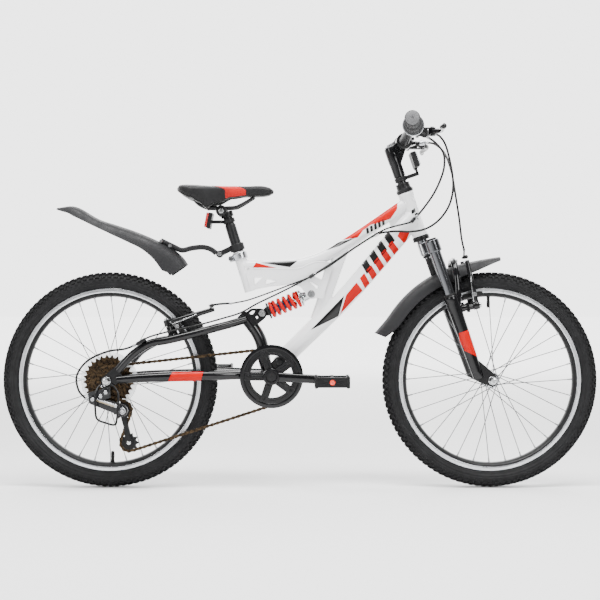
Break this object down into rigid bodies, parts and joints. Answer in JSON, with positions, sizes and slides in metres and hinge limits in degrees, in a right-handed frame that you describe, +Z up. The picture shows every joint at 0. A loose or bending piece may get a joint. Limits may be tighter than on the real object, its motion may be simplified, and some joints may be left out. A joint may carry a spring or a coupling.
{
  "type": "mountain bike",
  "caption": "Child's full-suspension mountain bike with white front frame, black sprung rear triangle, short-travel fork, rim brakes, chain drive with derailleur, mudguards and padded saddle.",
  "frame": {"origin": "on the ground, midway between the axles, in the bike's middle plane", "axes": "+X forward, +Y to the rider's left, +Z up"},
  "size_m": [1.405, 0.5802, 0.8575],
  "materials": {
    "white_paint": "gloss",
    "black_paint": "gloss",
    "black_plastic": "satin",
    "rubber": "matte",
    "tyre": "matte",
    "alloy": "satin",
    "dark_chrome": "gloss",
    "steel": "satin",
    "bronze_steel": "satin",
    "red_spring": "gloss",
    "saddle_cover": "satin",
    "red_lens": "gloss",
    "cable_black": "satin"
  },
  "bodies": {
    "frame": {"main_frame": "white_paint", "headset_upper_cup": "black_paint", "seat_clamp": "alloy", "rear_brake_cable": "cable_black", "shift_cable": "cable_black"},
    "steering": {"fork_upper": "dark_chrome", "stem": "black_paint", "handlebar": "black_paint", "grip_left": "rubber", "grip_right": "rubber", "left_lever_mount": "black_plastic", "right_lever_mount": "black_plastic", "front_reflector": "black_plastic", "front_fender": "black_plastic", "front_brake_cable": "cable_black", "shift_housing": "cable_black"},
    "shifter_grip": {"twist_shifter": "rubber"},
    "left_lever": {"left_brake_lever": "black_paint"},
    "right_lever": {"right_brake_lever": "black_paint"},
    "fork_slider": {"fork_lowers": "black_paint", "front_axle": "steel"},
    "front_left_brake": {"front_brake_left_arm": "black_paint", "front_brake_left_pad": "rubber"},
    "front_right_brake": {"front_brake_right_arm": "black_paint", "front_brake_right_pad": "rubber"},
    "front_wheel": {"front_tyre": "tyre", "front_rim": "alloy", "front_hub_and_spokes": "alloy"},
    "rear_triangle": {"swingarm": "black_paint", "pivot_bolt": "steel", "rear_axle": "steel", "chain": "bronze_steel", "derailleur_body": "steel", "derailleur_guard": "black_paint"},
    "rear_left_brake": {"rear_brake_left_arm": "black_paint", "rear_brake_left_pad": "rubber"},
    "rear_right_brake": {"rear_brake_right_arm": "black_paint", "rear_brake_right_pad": "rubber"},
    "rear_wheel": {"rear_tyre": "tyre", "rear_rim": "alloy", "rear_hub_and_spokes": "alloy"},
    "freewheel": {"freewheel": "bronze_steel"},
    "crankset": {"crank_right": "black_paint", "crank_left": "black_paint", "bottom_bracket_spindle": "steel", "chainring": "black_paint"},
    "right_pedal": {"pedal_right": "black_plastic"},
    "left_pedal": {"pedal_left": "black_plastic"},
    "cage": {"derailleur_cage": "black_paint"},
    "guide_pulley": {"guide_pulley": "black_plastic"},
    "tension_pulley": {"tension_pulley": "black_plastic"},
    "shock_upper": {"shock_upper": "dark_chrome", "shock_spring": "red_spring"},
    "shock_lower": {"shock_lower": "black_paint"},
    "seatpost": {"seatpost": "black_paint", "saddle_rails": "black_paint", "saddle": "saddle_cover", "rear_reflector": "red_lens", "fender_clamp": "black_plastic"},
    "rear_fender": {"rear_fender": "black_plastic"}
  },
  "joints": [
    {"name": "steering_turn", "type": "hinge", "parent": "frame", "child": "steering", "pos_m": [0.2889, 0, 0.583], "axis": [-0.3256, 0, 0.9455], "range_deg": [-60, 60], "deforming": ["rear_brake_cable", "shift_housing"]},
    {"name": "fork_travel", "type": "slide", "parent": "steering", "child": "fork_slider", "axis": [-0.3256, 0, 0.9455], "range_m": [0, 0.02], "stiffness_N_per_m": 9000, "springref_m": -0.004, "deforming": ["front_brake_cable"]},
    {"name": "front_wheel_spin", "type": "hinge", "parent": "fork_slider", "child": "front_wheel", "pos_m": [0.4485, 0, 0.254], "axis": [0, 1, 0], "continuous": true},
    {"name": "swing", "type": "hinge", "parent": "frame", "child": "rear_triangle", "pos_m": [-0.047, 0, 0.296], "axis": [0, 1, 0], "range_deg": [0, 8], "stiffness_Nm_per_rad": 900, "springref_deg": -2.86, "deforming": ["rear_brake_cable", "shift_cable", "shock_spring"]},
    {"name": "shock_pivot", "type": "hinge", "parent": "frame", "child": "shock_upper", "pos_m": [0.0265, 0, 0.4562], "axis": [0, 1, 0], "range_deg": [-3, 3]},
    {"name": "shock_stroke", "type": "slide", "parent": "shock_upper", "child": "shock_lower", "axis": [0.9304, 0, 0.3665], "range_m": [-0.0002, 0.019], "deforming": ["shock_spring"]},
    {"name": "rear_wheel_spin", "type": "hinge", "parent": "rear_triangle", "child": "rear_wheel", "pos_m": [-0.4485, 0, 0.254], "axis": [0, 1, 0], "continuous": true},
    {"name": "crank_spin", "type": "hinge", "parent": "rear_triangle", "child": "crankset", "pos_m": [-0.0666, 0, 0.2635], "axis": [0, 1, 0], "continuous": true, "deforming": ["chain"]},
    {"name": "freewheel_spin", "type": "hinge", "parent": "rear_triangle", "child": "freewheel", "pos_m": [-0.4485, 0, 0.254], "axis": [0, 1, 0], "continuous": true},
    {"name": "right_pedal_spin", "type": "hinge", "parent": "crankset", "child": "right_pedal", "pos_m": [0.07321, -0.118, 0.25617], "axis": [0, 1, 0], "continuous": true},
    {"name": "left_pedal_spin", "type": "hinge", "parent": "crankset", "child": "left_pedal", "pos_m": [-0.20641, 0.118, 0.27083], "axis": [0, 1, 0], "continuous": true},
    {"name": "cage_swing", "type": "hinge", "parent": "rear_triangle", "child": "cage", "pos_m": [-0.413, -0.0515, 0.1856], "axis": [0, 1, 0], "range_deg": [-15, 25], "stiffness_Nm_per_rad": 0.5, "deforming": ["chain"]},
    {"name": "guide_pulley_spin", "type": "hinge", "parent": "cage", "child": "guide_pulley", "pos_m": [-0.413, -0.0515, 0.1856], "axis": [0, 1, 0], "continuous": true},
    {"name": "tension_pulley_spin", "type": "hinge", "parent": "cage", "child": "tension_pulley", "pos_m": [-0.398, -0.0515, 0.1101], "axis": [0, 1, 0], "continuous": true},
    {"name": "left_lever_pull", "type": "hinge", "parent": "steering", "child": "left_lever", "pos_m": [0.3, 0.128, 0.824], "axis": [0, 0, 1], "range_deg": [0, 17], "stiffness_Nm_per_rad": 0.4},
    {"name": "right_lever_pull", "type": "hinge", "parent": "steering", "child": "right_lever", "pos_m": [0.3, -0.128, 0.824], "axis": [0, 0, -1], "range_deg": [0, 17], "stiffness_Nm_per_rad": 0.4},
    {"name": "front_left_arm_close", "type": "hinge", "parent": "fork_slider", "child": "front_left_brake", "pos_m": [0.4116, 0.046, 0.429], "axis": [0.9799, 0, 0.1993], "range_deg": [0, 2.3], "deforming": ["front_brake_cable"]},
    {"name": "front_right_arm_close", "type": "hinge", "parent": "fork_slider", "child": "front_right_brake", "pos_m": [0.4116, -0.046, 0.429], "axis": [-0.9799, 0, -0.1993], "range_deg": [0, 2.3], "deforming": ["front_brake_cable"]},
    {"name": "rear_right_arm_close", "type": "hinge", "parent": "rear_triangle", "child": "rear_right_brake", "pos_m": [-0.3089, -0.046, 0.3882], "axis": [-0.2932, 0, 0.956], "range_deg": [0, 2.3], "deforming": ["rear_brake_cable"]},
    {"name": "rear_left_arm_close", "type": "hinge", "parent": "rear_triangle", "child": "rear_left_brake", "pos_m": [-0.3089, 0.046, 0.3882], "axis": [0.2932, 0, -0.956], "range_deg": [0, 2.3], "deforming": ["rear_brake_cable"]},
    {"name": "shifter_twist", "type": "hinge", "parent": "steering", "child": "shifter_grip", "pos_m": [0.254, -0.165, 0.833], "axis": [-0.1052, -0.9944, -0.0033], "range_deg": [-30, 120]},
    {"name": "seatpost_height", "type": "slide", "parent": "frame", "child": "seatpost", "axis": [-0.2961, 0, 0.9552], "range_m": [0, 0.04]},
    {"name": "fender_tilt", "type": "hinge", "parent": "seatpost", "child": "rear_fender", "pos_m": [-0.1905, 0, 0.5507], "axis": [0, 1, 0], "range_deg": [0, 15]}
  ],
  "couplings": [
    {"joint": "shock_pivot", "follows": "swing", "ratio": -0.10148},
    {"joint": "shock_stroke", "follows": "swing", "m_per_rad": 0.12147},
    {"joint": "freewheel_spin", "follows": "crank_spin", "ratio": 2},
    {"joint": "guide_pulley_spin", "follows": "crank_spin", "ratio": -3.2},
    {"joint": "tension_pulley_spin", "follows": "crank_spin", "ratio": 3.2},
    {"joint": "front_left_arm_close", "follows": "left_lever_pull", "ratio": 0.11765},
    {"joint": "front_right_arm_close", "follows": "left_lever_pull", "ratio": 0.11765},
    {"joint": "rear_right_arm_close", "follows": "right_lever_pull", "ratio": 0.11765},
    {"joint": "rear_left_arm_close", "follows": "right_lever_pull", "ratio": 0.11765}
  ]
}
